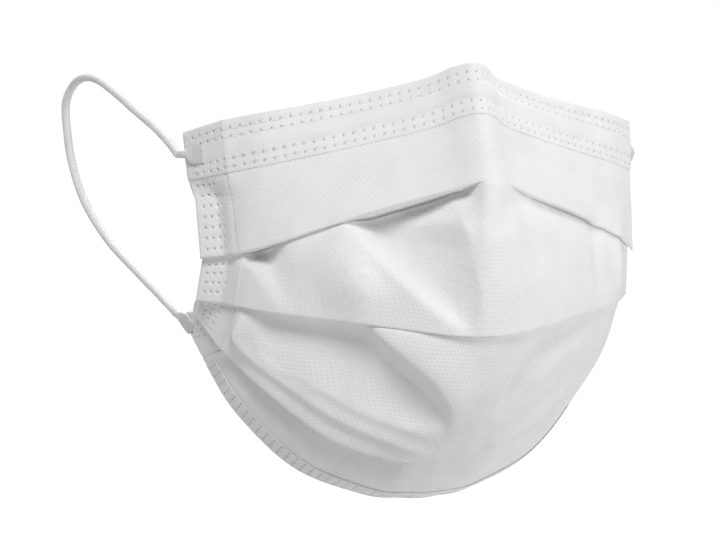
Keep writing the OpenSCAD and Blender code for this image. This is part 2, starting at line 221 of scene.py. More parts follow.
def noise(tree, size_mm, detail, roughness=0.5):
    """Noise on the piece's own place, with spots of about this size."""
    place = add_node(tree, "ShaderNodeTexCoord").outputs["Object"]
    settings = {"Scale": 1 / (size_mm * MM), "Detail": detail, "Roughness": roughness}
    return add_node(tree, "ShaderNodeTexNoise", Vector=place, **settings).outputs[0]


def ramp(tree, value, low, high, start=0.0, settings=None):
    """start where the value is low, 1 where it is high and a ramp between them."""
    ends = {"From_Min": low, "From_Max": high, "To_Min": start}
    return add_node(tree, "ShaderNodeMapRange", settings, Value=value, **ends).outputs["Result"]


def mixed(tree, share, one, other):
    """A colour between two hex colours."""
    colours = {"in_6": colour(one), "in_7": colour(other)}
    return add_node(tree, "ShaderNodeMix", {"data_type": "RGBA"}, in_0=share, **colours).outputs[2]


def new_material(name):
    material = bpy.data.materials.new(name)
    material.use_nodes = True
    material.node_tree.nodes.clear()
    return material, material.node_tree


def finish_material(tree, shader):
    add_node(tree, "ShaderNodeOutputMaterial", Surface=shader)


def principled(tree, **inputs):
    finish_material(tree, add_node(tree, "ShaderNodeBsdfPrincipled", **inputs).outputs["BSDF"])


# %% [markdown]
# ## Spunbond cloth
# The outer and inner plies are spunbond polypropylene: fine fibres laid at random and bonded by a
# heated roller, which presses a staggered grid of small dots into them. It scatters light like
# paper, and it has a faint sheen along the fibres. The dots are about 0.5 mm wide here, and 1.35 mm
# apart in rows 1.15 mm apart, a little coarser than the finest rollers give, so that they show.

# %% Spunbond material


def spunbond(name, tint, dot_depth, sheen):
    """tint is the colours of the thin and the dense cloth; dot_depth is 1 for the deepest bonds."""
    material, tree = new_material(name)
    uv = add_node(tree, "ShaderNodeUVMap", {"uv_map": "cloth"}).outputs["UV"]
    # Rows of bonds, every second row moved half a pitch sideways
    pitch_u, pitch_v = 1.35 * MM, 1.15 * MM
    split = add_node(tree, "ShaderNodeSeparateXYZ", Vector=uv)
    maths = maths_in(tree)
    row = maths("DIVIDE", split.outputs["Y"], pitch_v)
    row_number = maths("FLOOR", row)
    odd = maths("FLOORED_MODULO", row_number, 2.0)
    across = maths("ADD", maths("DIVIDE", split.outputs["X"], pitch_u), maths("MULTIPLY", odd, 0.5))
    dx = maths("MULTIPLY", maths("SUBTRACT", maths("FRACT", across), 0.5), pitch_u / MM)
    dy = maths("MULTIPLY", maths("SUBTRACT", maths("FRACT", row), 0.5), pitch_v / MM)
    off = maths("SQRT", maths("ADD", maths("MULTIPLY", dx, dx), maths("MULTIPLY", dy, dy)))
    # A bond's floor is 0.14 mm in radius, and its soft edge ends at 0.38 mm
    bond = ramp(tree, off, 0.14, 0.38, settings={"interpolation_type": "SMOOTHSTEP"})
    fibres = noise(tree, 0.9, 3.0, 0.7)
    clouds = noise(tree, 9, 2.0)
    height = maths("ADD", maths("MULTIPLY", bond, dot_depth), maths("MULTIPLY", fibres, 0.5))
    bump = add_node(tree, "ShaderNodeBump", Strength=0.6, Distance=0.13 * MM, Height=height)
    base = mixed(tree, ramp(tree, clouds, 0.3, 0.7), *tint)
    # A bond is a little darker than the fibres round it: partly the pressed fibres' own tone, partly
    # painted shade of its pit
    pressed = ramp(tree, bond, 0.0, 1.0, 1 - 0.03 * dot_depth)
    scale = {"operation": "SCALE"}
    base = add_node(tree, "ShaderNodeVectorMath", scale, Vector=base, Scale=pressed).outputs["Vector"]
    gloss = {"Roughness": 0.75, "IOR": 1.45, "Sheen_Weight": sheen, "Sheen_Roughness": 0.5}
    principled(tree, Base_Color=base, Normal=bump.outputs["Normal"], **gloss)
    return material


outer_cloth = spunbond("white_spunbond_polypropylene", ("#F4F4F4", "#FAFAFA"), 1.0, 0.15)
inner_cloth = spunbond("soft_inner_spunbond_polypropylene", ("#F1F3F5", "#F8F9FA"), 0.8, 0.2)
filter_cloth = spunbond("meltblown_filter_polypropylene", ("#EFF1F3", "#F4F6F7"), 0.1, 0.1)
hem_cloth = spunbond("spunbond_hem_strip", ("#F5F5F5", "#FBFBFB"), 0.6, 0.15)
print("cloth materials:", [m.name for m in (outer_cloth, inner_cloth, filter_cloth, hem_cloth)])

# %% [markdown]
# ## Ear loops
# Each loop is one elastic cord, knitted round a rubber core. It is welded to the side band at the top
# and at the bottom, and stands back from the mask in one open curve, as it does behind an ear. It is
# a tube that follows the same points as its solid. The radius of its tightest bend is about five
# diameters.

# %% Cord material


def elastic():
    """Knitted nylon: matt, with wales along the cord and courses round it every 0.7 mm."""
    material, tree = new_material("knitted_elastic_cord")
    uv = add_node(tree, "ShaderNodeUVMap", {"uv_map": "cloth"}).outputs["UV"]
    split = add_node(tree, "ShaderNodeSeparateXYZ", Vector=uv)
    maths = maths_in(tree)
    wales = maths("SINE", maths("MULTIPLY", split.outputs["X"], 2 * math.pi / (0.65 * MM)))
    courses = maths("SINE", maths("MULTIPLY", split.outputs["Y"], 2 * math.pi / (0.7 * MM)))
    knit = maths("MULTIPLY", wales, courses)
    bump = add_node(tree, "ShaderNodeBump", Strength=0.4, Distance=0.15 * MM, Height=knit)
    gloss = {"Roughness": 0.8, "IOR": 1.53, "Sheen_Weight": 0.3, "Sheen_Roughness": 0.4}
    principled(tree, Base_Color=colour("#F3F4F3"), Normal=bump.outputs["Normal"], **gloss)
    return material


cord_knit = elastic()

# %% Cords
CORD_D = 0.0025
CORD_SIDES = 16
LEFT_ROUTE = [
    (-0.0735, -0.003, 0.020), (-0.0743, 0.0015, 0.0232), (-0.0756, 0.009, 0.0274), (-0.0775, 0.019, 0.032),
    (-0.0795, 0.031, 0.0375), (-0.081, 0.042, 0.0415), (-0.082, 0.051, 0.0425), (-0.0825, 0.060, 0.0405),
    (-0.083, 0.066, 0.035), (-0.082, 0.068, 0.027), (-0.0805, 0.068, 0.017), (-0.0785, 0.062, 0.005),
    (-0.0755, 0.050, -0.006), (-0.0725, 0.033, -0.015), (-0.0705, 0.022, -0.0205), (-0.069, 0.013, -0.025),
]
RIGHT_ROUTE = [
    (0.0735, -0.003, 0.020), (0.0743, 0.002, 0.022), (0.0756, 0.0095, 0.025), (0.0775, 0.020, 0.0285),
    (0.0795, 0.032, 0.0315), (0.081, 0.043, 0.033), (0.082, 0.053, 0.0325), (0.0828, 0.0625, 0.0295),
    (0.083, 0.0695, 0.0235), (0.0825, 0.0725, 0.015), (0.0815, 0.0715, 0.006), (0.0795, 0.065, -0.0035),
    (0.077, 0.054, -0.011), (0.0735, 0.038, -0.017), (0.071, 0.025, -0.0215), (0.069, 0.013, -0.025),
]


def tube_rings(line, radii):
    """Rings of points round a line."""
    ahead = unit(np.gradient(line, axis=0))
    side = unit(np.cross(ahead, [1.0, 0.0, 0.0]))
    lift = np.cross(ahead, side)
    turn = np.linspace(0, 2 * math.pi, CORD_SIDES + 1)[None, :, None]
    around_line = np.cos(turn) * side[:, None] + np.sin(turn) * lift[:, None]
    return line[:, None] + radii[:, None, None] * around_line


def cord_object(name, route):
    """A cord with round ends, its length and the line that it follows, both in metres."""
    line = through(route, 14) / MM
    r = CORD_D / 2 / MM
    ends = np.radians([88, 70, 50, 30, 12])
    ahead = unit(np.gradient(line, axis=0))
    head = [line[0] - ahead[0] * r * math.sin(a) for a in ends]
    tail = [line[-1] + ahead[-1] * r * math.sin(a) for a in ends[::-1]]
    cap = [r * math.cos(a) for a in ends]
    middle = np.vstack([head, line, tail])
    radii = np.array(cap + [r] * len(line) + cap[::-1])
    thing = tube_object(name, tube_rings(middle, radii), cord_knit)
    # The knit's map goes round the cord and along it, and is nothing on the two flat tips
    along = run_along(middle)
    i, j = np.meshgrid(np.arange(len(middle) - 1), np.arange(CORD_SIDES), indexing="ij")
    u = np.stack([j, j + 1, j + 1, j], -1) / CORD_SIDES * math.pi * CORD_D
    v = along[np.stack([i, i, i + 1, i + 1], -1)] * MM
    tips = np.zeros(4 * CORD_SIDES)
    layer = thing.data.uv_layers.new(name="cloth")
    layer.data.foreach_set("uv", np.concatenate([np.stack([u, v], -1).ravel(), tips]))
    length = float(along[-1]) * MM
    print(name, "is", round(length * 1000, 1), "mm long")
    return thing, length, line * MM


for side, body, route in (("left", "left_loop", LEFT_ROUTE), ("right", "right_loop", RIGHT_ROUTE)):
    loop, loop_length, loop_line = cord_object(side + "_elastic_loop", route)
    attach(loop, body)
    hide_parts(side + "_ear_loop")

# %% [markdown]
# ## The shape on the face
# Five rails run across the mask: its top edge, the edges of its three pleats and its bottom edge. A
# panel of cloth hangs between two rails. Each rail has six stations on the right half, from the nose
# ridge to the bend where the side band turns back, and its mirror image makes the left half. A place
# on the cloth is t, the station, and v, the panel's number plus the share of its height.

# %% Rails
# Each rail's stations from the nose ridge to the bend: x, y and z in mm
RAILS = np.array([
    # Top edge
    [(0, -43, 45.5), (5, -40.5, 44.5), (12.5, -35.5, 41),
     (33, -29, 36), (54, -23.5, 32), (65.5, -17, 29.5)],
    # First fold
    [(0, -54, 12), (5, -52.5, 11.5), (13.5, -48, 9), (34, -41, 3), (53, -32, -4), (63.5, -23, -8)],
    # Second fold
    [(0, -53, -31), (5.5, -52.5, -31), (15, -50, -30),
     (35, -41, -27), (54, -29.5, -24.5), (63.5, -19.5, -22.5)],
    # Third fold
    [(0, -27, -69), (6, -27, -69), (16, -26, -68), (36, -23, -60), (54, -16, -45), (63, -9, -36)],
    # Bottom edge
    [(0, -8, -81.3), (6, -7.5, -80.9), (17, -6, -79.5), (38, -4, -71), (55, -1, -54.5), (63, 4, -39.5)],
], float)
# The station of the bend, and how far in mm each panel swells between its two rails
LAST = 5
BULGE = [0, 2.5, 3.5, 1.5]
# In mm: a side band's width, one ply's thickness and that of the three
BAND_W = 16
PLY_T = 0.2
STACK_T = 3 * PLY_T
# A panel lies this far behind the panel above it: three plies and the gap between the two
STEP = 1.4
# Just inside the bend, one station is this many mm long
BEND_MM = 11


KEPT = {}


def kept(function):
    """Keeps a function's results, because every row of a sheet asks for the same stations."""

    def ask(k, t, *rest):
        key = (function.__name__, k, t.tobytes()) + tuple(x.tobytes() for x in rest)
        if key not in KEPT:
            KEPT[key] = function(k, t, *rest)
        return KEPT[key]

    return ask


@kept
def rail_point(k, t):
    """Points of rail k at the stations t, which stay at the bend past it."""
    p = RAILS[k]
    q = np.vstack([p[1] * [-1, 1, 1], p, 2 * p[5] - p[4]])
    a = np.minimum(np.abs(t), LAST)
    i = np.minimum(a.astype(int), LAST - 1)
    f = (a - i)[:, None]
    out = spline(q[i], q[i + 1], q[i + 2], q[i + 3], f)
    out[:, 0] *= np.where(t < 0, -1, 1)
    return out


# %% [markdown]
# ## The side bands' turn
# At each side the plies are welded into a band, which turns back round the cheek. Beside the upper
# panel, below the hem, the left band flares forward again. A table gives the turn at each height:
# the first heading in degrees from straight across, how far that lasts, the second heading, and how
# much the band climbs.

# %% Turn of the bands
# The share of the upper panel's height at the hem's lower edge
HEM_END = 0.4
# Rows of (v, heading, its length in mm, next heading, climb)
UPPER_TURN = {
    -1: [(0, 67, 16, 67, -0.23), (HEM_END, 67, 10, 67, -0.15),
         (0.55, 89, 9.2, 42, -0.1), (1, 87, 8.5, 46, -0.1)],
    1: [(0, 62, 16, 62, -0.23), (HEM_END, 62, 10, 62, -0.15),
        (0.6, 60, 7, 58, -0.1), (1, 60, 6, 58, -0.1)],
}
LOWER_TURN = {
    -1: [(1, 87, 8.5, 47, -0.09), (2, 85, 7.5, 56, 0.06),
         (3, 71, 8, 71, 0.85), (4, 63.4, 8, 63.4, 1.45)],
    1: [(1, 66, 8, 66, -0.09), (2, 68, 8, 72, 0.06), (3, 66, 8, 66, 0.85), (4, 63.4, 8, 63.4, 1.45)],
}


def band_offset(side, k, v, w):
    """Way from the bend to the place w mm out on the band, for arrays v and w of one size."""
    table = np.array((UPPER_TURN if k == 0 else LOWER_TURN)[side], float)
    first, length, second, climb = [np.interp(v, table[:, 0], table[:, c]) for c in (1, 2, 3, 4)]
    out = np.zeros((len(v), 3))
    steps = 24
    for i in range(steps):
        here = w * (i + 0.5) / steps
        heading = np.radians(first + (second - first) * smoothstep(here, length - 1.2, length + 1.2))
        way = np.stack([side * np.cos(heading), np.sin(heading), climb], -1)
        out += unit(way) * (w / steps)[:, None]
    return out


# %% [markdown]
# ## Pleats that open towards the middle
# Beside the bands a pleat is a full Z: down to the fold, back up behind it and down again. The first
# and third pleats are pulled flat over the nose and the chin, so their folds fade out there. The
# second one stays a fold all the way across, and the cloth is two pieces that meet at it.

# %% Panels
# How far each point of the left bend moves when it is rolled round: nothing until roll_map has run
ROLL_T = np.linspace(-5.5, -4.4, 45)
ROLL_F = np.linspace(0, 1, 41)
ROLL = [np.zeros((len(ROLL_F), len(ROLL_T), 3)) for k in range(2)]


def between(table, x, y):
    """The table's values at columns x and rows y, which may lie between its own."""
    i = np.minimum(y.astype(int), table.shape[0] - 2)
    j = np.minimum(x.astype(int), table.shape[1] - 2)
    wide = (-1,) + (1,) * (table.ndim - 2)
    a, b = (y - i).reshape(wide), (x - j).reshape(wide)
    top = table[i, j] * (1 - b) + table[i, j + 1] * b
    low = table[i + 1, j] * (1 - b) + table[i + 1, j + 1] * b
    return top * (1 - a) + low * a


def fold_share(k, t):
    """1 where the pleat above panel k is a full fold and 0 where it is pulled flat."""
    if k == 1:
        return np.where(t < 0, smoothstep(-t, 0.2, 1.4), smoothstep(t, 1.4, 2.6))
    if k == 3:
        return np.where(t < 0, smoothstep(-t, 1.4, 2.8), smoothstep(t, 1.4, 3.0))
    return np.ones_like(t)


@kept
def upper_edge(k, t):
    """Top of panel k, behind the edge of the panel above it, without the turn of the band."""
    if k == 0:
        return rail_point(0, t)
    return rail_point(k, t) + inward(k - 1, t, np.ones_like(t)) * (STEP * fold_share(k, t))[:, None]


def sharp_point(k, t, f):
    """Outer face of panel k at stations t and shares f of its height, and its band past the bend."""
    upper, lower = upper_edge(k, t), rail_point(k + 1, t)
    across = rail_point(k, np.minimum(t + 0.01, LAST)) - rail_point(k, np.maximum(t - 0.01, -LAST))
    out = unit(np.cross(lower - upper, across))
    fade = 1 - np.clip(t / LAST, -1, 1) ** 2
    g = f[:, None]
    points = upper + (lower - upper) * g + out * (BULGE[k] * fade)[:, None] * 4 * g * (1 - g)
    for side in (-1, 1):
        past = (side * t > LAST).nonzero()[0]
        if len(past):
            w = (side * t[past] - LAST) * BAND_W
            points[past] += band_offset(side, k, k + f[past], w)
    return points


def panel_point(k, t, f):
    """The same, with the left bend below the hem rolled round, like cloth that isn't creased there."""
    points = sharp_point(k, t, f)
    near = ((t > ROLL_T[0]) & (t < ROLL_T[-1])).nonzero()[0]
    if k < 2 and len(near):
        x = (t[near] - ROLL_T[0]) / (ROLL_T[1] - ROLL_T[0])
        y = np.clip(f[near], 0, 1) / (ROLL_F[1] - ROLL_F[0])
        points[near] += between(ROLL[k], x, y)
    return points


def roll_map(k):
    """How far the left bend of panel k moves when each point is the mean of those up to reach away."""
    t, f = [g.ravel() for g in np.meshgrid(ROLL_T, ROLL_F)]
    v = k + f
    reach = 0.34 * smoothstep(v, HEM_END, 0.6) * (1 - smoothstep(v, 1.0, 1.3))
    reach = np.minimum(reach, np.minimum(t - ROLL_T[0], ROLL_T[-1] - t))
    steps = np.linspace(-1, 1, 7)
    rolled = sum(sharp_point(k, t + reach * step, f) for step in steps) / len(steps)
    return (rolled - sharp_point(k, t, f)).reshape(ROLL[k].shape)


@kept
def inward(k, t, f):
    """Unit vectors into the cloth, square to two short steps along it. Next to a fold they lean to
    those of the panel above."""
    across = panel_point(k, t + 0.02, f) - panel_point(k, t - 0.02, f)
    down = panel_point(k, t, f + 0.01) - panel_point(k, t, f - 0.01)
    n = unit(np.cross(across, down))
    if k == 0:
        return n
    lean = (1 - smoothstep(f, 0, 0.1))[:, None]
    return unit(n + (inward(k - 1, t, np.ones_like(t)) - n) * lean)


@kept
def panel_height(k, t):
    return np.linalg.norm(rail_point(k + 1, t) - upper_edge(k, t), axis=1)


for k in range(2):
    ROLL[k] = roll_map(k)
KEPT.clear()


def runs(point_at, end):
    """Stations from one end of an edge to the other, and the way in mm from the nose ridge to each."""
    t = np.linspace(-end, end, 2401)
    run = run_along(point_at(t))
    return t, run - run[len(t) // 2]


def columns(gap, end):
    """Stations this many mm apart along the first fold, out to the station end on both sides."""
    t, run = runs(lambda t: rail_point(1, t), end)
    count = int(round((run[-1] - run[0]) / gap))
    return np.interp(np.linspace(run[0], run[-1], count + 1), run, t)


for word, station in (("nose ridge", 0.0), ("bends", 5.0)):
    heights = [round(float(panel_height(k, np.array([station]))[0]), 1) for k in range(4)]
    print("panel heights at the", word, heights)

# %% [markdown]
# ## Soft folds
# Worn cloth isn't smooth between its rails: it caves in beside the nose, swells over the cheek and
# creases where it is pulled. Each such fold is a line over the cloth with a height at each point,
# outward if it is positive, and a width on either side. The cloth near the line moves along its
# normal, so all three plies move together.

# %% Folds list
# A fold: its panels, its points (t, v, height, width above the line, width below it), the two widths
# where they are the same all along, its shape above and its shape below. Heights and widths are in
# mm. A shape is 0 for a round fold, up to 1 for one with a crease on its line, and down to -1 for a
# hollow with a crease at its border.
FOLDS = [
    # Beside the nose on the left: the cloth caves in from the ridge to a slanting valley
    ((1,), [(-2.9, 0.98, -6, 24, 8), (-2.65, 1.2, -7, 22, 8.5), (-2.35, 1.42, -6.8, 17, 8.5),
            (-2.0, 1.64, -5, 12, 7.5), (-1.55, 1.8, -2.8, 8, 6), (-1.1, 1.9, -0.8, 5, 4),
            (-0.7, 1.95, 0, 4, 4)], (), -0.8, 0.2),
    ((1,), [(-2.7, 1.08, 0), (-2.1, 1.18, 1.3), (-1.4, 1.26, 1.2), (-0.8, 1.3, 0)], (5, 7), 0.6, 0.6),
    ((1,), [(-2.6, 1.0, 0, 4, 6), (-2.0, 1.0, -2.6, 4, 8), (-1.3, 1.0, -3, 4, 8),
            (-0.7, 1.0, 0, 4, 7)], (), 0.2, 0.2),
    # The swelling over the left cheek, and the pocket outside it where the pleat gapes
    ((1,), [(-3.5, 1.05, 0), (-3.3, 1.3, 2.2), (-3.1, 1.6, 2.4), (-2.9, 1.9, 0.5)], (10, 12), 0, 0),
    ((1,), [(-4.8, 0.98, -5, 10, 5), (-4.5, 1.12, -4.5, 10, 5), (-4.2, 1.4, -2.5, 9, 5),
            (-3.9, 1.75, -1, 8, 5), (-3.7, 1.95, 0, 8, 5)], (), 0.3, 0.3),
    # Under the first fold on the right, a shallow hollow from the nose to the cheek
    ((1,), [(-0.6, 1.3, 0), (0.8, 1.18, -1.2), (2, 1.08, -1.6), (3.3, 1.0, -0.8)], (8, 7), 0.4, 0.4),
    # Upright folds beside the right band
    ((0, 1), [(3.55, 0.75, 0), (3.5, 1.1, -1.1), (3.5, 1.5, -1.3), (3.6, 1.9, -0.4)], (5, 6), 0.3, 0.3),
    ((0, 1), [(4.2, 0.8, 0), (4.15, 1.15, 0.9), (4.15, 1.6, 0.9), (4.15, 1.9, 0.2)], (4, 4), 0.3, 0.3),
    # The second pleat gapes on the left, over a hollow that runs down to the chin
    ((2,), [(-4.6, 2.02, -1, 5, 8), (-4.15, 2.03, -3.6, 6, 15), (-3.5, 2.05, -4.2, 8, 18),
            (-3.0, 2.14, -5, 7, 19), (-2.55, 2.3, -5, 6, 16), (-2.05, 2.43, -4.3, 5.5, 13),
            (-1.55, 2.54, -3, 5, 10), (-1.0, 2.66, -0.5, 3, 6)], (), 0.3, -0.8),
    ((2,), [(-2.85, 2.0, 1, 14, 4), (-2.57, 2.1, 2, 14, 4), (-2.2, 2.21, 2.2, 14, 4),
            (-1.72, 2.32, 2, 14, 4), (-1.25, 2.45, 1.4, 12, 4), (-0.85, 2.6, 0, 10, 4)], (), 0.1, 0.8),
    # The bend of the left cheek
    ((2,), [(-4.8, 2.03, 0.6), (-4.75, 2.3, 2.2), (-4.65, 2.6, 2), (-4.4, 2.85, 0)], (5, 5), 0.1, 0.1),
    # The roll of cloth over the third fold, and the gap behind that fold
    ((2,), [(-4.95, 2.4, 0.6, 3, 3), (-4.3, 2.7, 1.2, 4, 3), (-3.4, 2.78, 1.3, 4, 3),
            (-2.6, 2.82, 1.2, 4, 3), (-1.6, 2.88, 0.9, 4, 3), (-0.7, 2.93, 0, 4, 3)], (), 1.0, 1.0),
    ((2,), [(-4.7, 3.0, 0), (-4.1, 3.0, 1.2), (-3.3, 3.0, 1.5), (-2.6, 3.0, 1.2),
            (-1.7, 3.0, 0)], (6, 4), -0.2, 0),
    ((2,), [(1.4, 2.87, 0), (2.1, 2.83, 1.3), (2.7, 2.74, 1.3), (3.3, 2.6, 0)], (6, 4), 0.5, 0.5),
    ((3,), [(-4.8, 3.0, -1.5, 6, 9), (-4.2, 3.02, -2.8, 6, 10), (-3.3, 3.04, -3.5, 6, 11),
            (-2.6, 3.08, -3, 6, 11), (-1.8, 3.1, 0, 6, 11)], (), 0.2, 0.2),
    # The crease down the right cheek
    ((2,), [(1.6, 2.65, 0), (1.75, 2.4, -1.8), (2.25, 2.19, -2.4), (2.7, 2.1, -2.2),
            (3.3, 2.02, -1)], (5, 10), 0.6, 0.3),
]


def profile(x, shape):
    """Height across a fold, from 1 on its line to 0 at its width."""
    x = np.clip(x, 0, 1)
    other = (1 - x) ** 1.4 if shape > 0 else 1 - x ** 1.6
    return (1 - abs(shape)) * (0.5 + 0.5 * np.cos(math.pi * x)) + abs(shape) * other


def fold_line(panel, points):
    """A fold's line on the cloth, the heights and widths along it, and the way to its lower side."""
    p = through(points, 10)
    t, f = p[:, 0], p[:, 1] - panel
    line = panel_point(panel, t, f)
    return line, p[:, 2:], np.cross(unit(np.gradient(line, axis=0)), -inward(panel, t, f))


def relief(panel, t, f):
    """How far the soft folds move panel's cloth outward at the stations t and shares f of its height."""
    at = panel_point(panel, t, f)
    out = np.zeros(len(t))
    for panels, points, widths, shape_above, shape_below in FOLDS:
        if panel not in panels:
            continue
        line, sizes, lower_side = fold_line(panel, [point + widths for point in points])
        reach = sizes[:, 1:].max()
        near = ((at > line.min(0) - reach) & (at < line.max(0) + reach)).all(1).nonzero()[0]
        gap = at[near][:, None] - line[None]
        far = np.linalg.norm(gap, axis=-1)
        i = far.argmin(1)
        far = far.min(1)
        height, above, below = sizes[i].T
        # From the shape above to the one below, over 3 mm across the line
        side = smoothstep((gap[np.arange(len(near)), i] * lower_side[i]).sum(1), -1.5, 1.5)
        up, down = profile(far / above, shape_above), profile(far / below, shape_below)
        out[near] += height * (up + (down - up) * side)
    # Below the first panel the folds fade out just inside the bend
    return out if panel == 0 else out * smoothstep(LAST - np.abs(t), 0, 0.25)


# %% Heights on a map
T_MAP = np.linspace(-LAST, LAST, 361)
F_MAP = np.linspace(0, 1, 81)
grid_t, grid_f = [g.ravel() for g in np.meshgrid(T_MAP, F_MAP)]
RELIEF = [relief(k, grid_t, grid_f).reshape(len(F_MAP), len(T_MAP)) for k in range(4)]
print("soft folds in mm:", [(round(float(m.min()), 1), round(float(m.max()), 1)) for m in RELIEF])


def relief_at(k, t, f):
    """The map's height at stations t and shares f, between its points."""
    x = np.clip((t + LAST) / (2 * LAST), 0, 1) * (len(T_MAP) - 1)
    y = np.clip(f, 0, 1) * (len(F_MAP) - 1)
    return between(RELIEF[k], x, y)


def cloth_row(k, t, f, depth, under=0.0, tucked=False):
    """One row of points at a depth in mm under the outer face, with the soft folds. under is how far
    the row has gone over from panel k's folds to those at the top of the panel under it. A row that is
    tucked behind panel k stays behind it."""
    height = relief_at(k, t, f)
    if under:
        below = relief_at(k + 1, t, np.zeros_like(t))
        if tucked:
            below = np.minimum(below, height)
        height = height + (below - height) * under
    return panel_point(k, t, f) + inward(k, t, f) * (depth - height)[:, None]


# %% [markdown]
# ## The pleated sheets
# A sheet's rows go down one panel, through the Z of a pleat and down the next panel. In the Z each
# ply turns round the plies inside it, so that no two of them touch. Where the pleat is pulled flat,
# the same rows lie side by side on the smooth cloth.

# %% Rows through a pleat
# In mm: how far a full pleat laps, and the gap inside its turns
LAP = 5.0
TURN_GAP = 0.05


def fold_path(depth):
    """Places in a pleat as (mm below the fold, depth), folded, and the mm below it when pulled flat."""
    centre = STACK_T + TURN_GAP
    first, second = centre - depth, TURN_GAP + depth
    path = [(-2.0, depth), (-1.2, depth)]
    for turn in np.linspace(-90, 90, 7):
        a = math.radians(turn)
        path.append((first * math.cos(a) - centre, centre + first * math.sin(a)))
    path += [(-0.5 * LAP, 2 * centre - depth)]
    middle = 2 * centre + TURN_GAP
    for turn in np.linspace(-90, 90, 5):
        a = math.radians(turn)
        path.append((-LAP - second * math.cos(a), middle + second * math.sin(a)))
    path += [(x, middle + second) for x in (-0.5 * LAP, -0.8, -0.2, 0.3, 1.0, 2.0)]
    return path, np.linspace(-2, 2, len(path))


def pleat_rows(k, t, depth):
    """Rows through the pleat between panels k - 1 and k."""
    share = fold_share(k, t)
    rows = []
    path, flat = fold_path(depth)
    for (x, y), smooth_x in zip(path, flat):
        a = share * x + (1 - share) * smooth_x
        b = depth + share * (y - depth)
        under = float(smoothstep(y, STACK_T, 3 * STACK_T))
        above = cloth_row(k - 1, t, 1 + np.minimum(a, 0) / panel_height(k - 1, t), b, under)
        below = cloth_row(k, t, np.maximum(a, 0) / panel_height(k, t), b - STEP * share)
        rows.append(np.where((a < 0)[:, None], above, below))
    return rows


def panel_rows(k, t, depth, first_mm, last_mm, gap):
    """Rows down panel k, from first_mm below its top to last_mm above its bottom."""
    high = panel_height(k, t)
    count = int(round(float(high.max()) / gap))
    shares = np.linspace(0, 1, count + 1)
    return [cloth_row(k, t, (first_mm + (high - first_mm - last_mm) * s) / high, depth) for s in shares]


def lip_rows(k, t, depth):
    """The outer ply turned round the lower edge of panel k."""
    centre, rows, high = 0.42, [], panel_height(k, t)
    for turn in np.linspace(-60, 90, 6):
        a = math.radians(turn)
        down = (centre - depth) * math.cos(a) - centre
        rows.append(cloth_row(k, t, 1 + down / high, centre + (centre - depth) * math.sin(a)))
    rows.append(cloth_row(k, t, 1 - 1.8 / high, 2 * centre - depth))
    return rows


# %% Upper and lower sheets
# Plain rows stop this far in mm from a fold, and the pleat's own rows take over
FOLD_ROOM = 2.6
# The lower sheet's rows behind the second panel, in mm above the fold
TUCKED = (6, 4, 2, 0.6)


def stations(gap, past):
    """Columns of a sheet: past is how far in mm it goes round the bend, or stops short of it."""
    if past < 0:
        return columns(gap, LAST + past / BEND_MM)
    wrap = LAST + np.linspace(0, past, 4)[1:] / BAND_W
    return np.concatenate([-wrap[::-1], columns(gap, LAST), wrap])


def upper_sheet(t, depth, gap, outer):
    rows = panel_rows(0, t, depth, 0, FOLD_ROOM, gap) + pleat_rows(1, t, depth)
    rows += panel_rows(1, t, depth, FOLD_ROOM, 0.5 if outer else 0.9, gap)
    return np.array(rows + (lip_rows(1, t, depth) if outer else []))


def lower_sheet(t, depth, gap, outer):
    """All plies end alike here, so outer isn't asked."""
    high = panel_height(1, t)
    rows = [cloth_row(1, t, 1 - up / high, STEP + depth, 1.0, True) for up in TUCKED]
    rows += panel_rows(2, t, depth, 0.5, FOLD_ROOM, gap) + pleat_rows(3, t, depth)
    return np.array(rows + panel_rows(3, t, depth, FOLD_ROOM, 0, gap))


def ply(name, make, layer, gap, past, material):
    t = stations(gap, past)
    depths = layer * PLY_T, (layer + 0.92) * PLY_T
    front, back = [make(t, depth, gap, layer == 0) for depth in depths]
    return sheet_object(name, [front], [back], material)


# A ply: its name, its layer, the gap between its rows, how far past the bend it goes (mm), its looks
plies = [
    ("outer", 0, 0.85, 0.8, outer_cloth, "outer_nonwoven"),
    ("filter", 1, 2.2, -0.6, filter_cloth, "filter_nonwoven"),
    ("inner", 2, 1.4, -0.6, inner_cloth, "inner_nonwoven"),
]
for kind, layer, gap, past, material, slot in plies:
    upper = ply(kind + "_ply_upper_sheet", upper_sheet, layer, gap, past, material)
    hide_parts(kind + "_ply_upper", kind + "_ply_second")
    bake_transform(upper)
    lower = ply(kind + "_ply_lower_sheet", lower_sheet, layer, gap, past, material)
    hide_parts(kind + "_ply_third", kind + "_ply_lower")
    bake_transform(lower)
print("sheets done")

# %% [markdown]
# ## Weld dots
# The hems and the side bands are joined by an ultrasonic roller: each of its pins melts the plies
# into a small pit with a glazed floor. The pits are pressed into the cloth's mesh, whose columns and
# rows are laid out round them, and Geometry Nodes sets one grey glazed disc on the floor of each pit:
# its grey is partly the film's own tone and partly painted shade of the pit.

# %% Pits
PIT_W = 1.25
PIT_DEPTH = 0.34
PIT_STEPS = [-0.6, -0.46, -0.31, 0, 0.31, 0.46, 0.6]
# A glazed disc lies this far above the floor of its pit, in mm
FILM_LIFT = 0.03


def around(centres, low, high, gap):
    """Rows or columns of a grid, close together at the pits and this far apart between them."""
    fine = [c + x * PIT_W for c in centres for x in PIT_STEPS]
    even = np.arange(low, high + gap / 2, gap)
    coarse = [x for x in even if all(abs(x - c) > 0.85 * PIT_W for c in centres)]
    inside = sorted(x for x in fine + coarse + [low, high] if low <= x <= high)
    out = [inside[0]]
    for x in inside[1:]:
        if x - out[-1] > 0.04:
            out.append(x)
    return np.array(out)


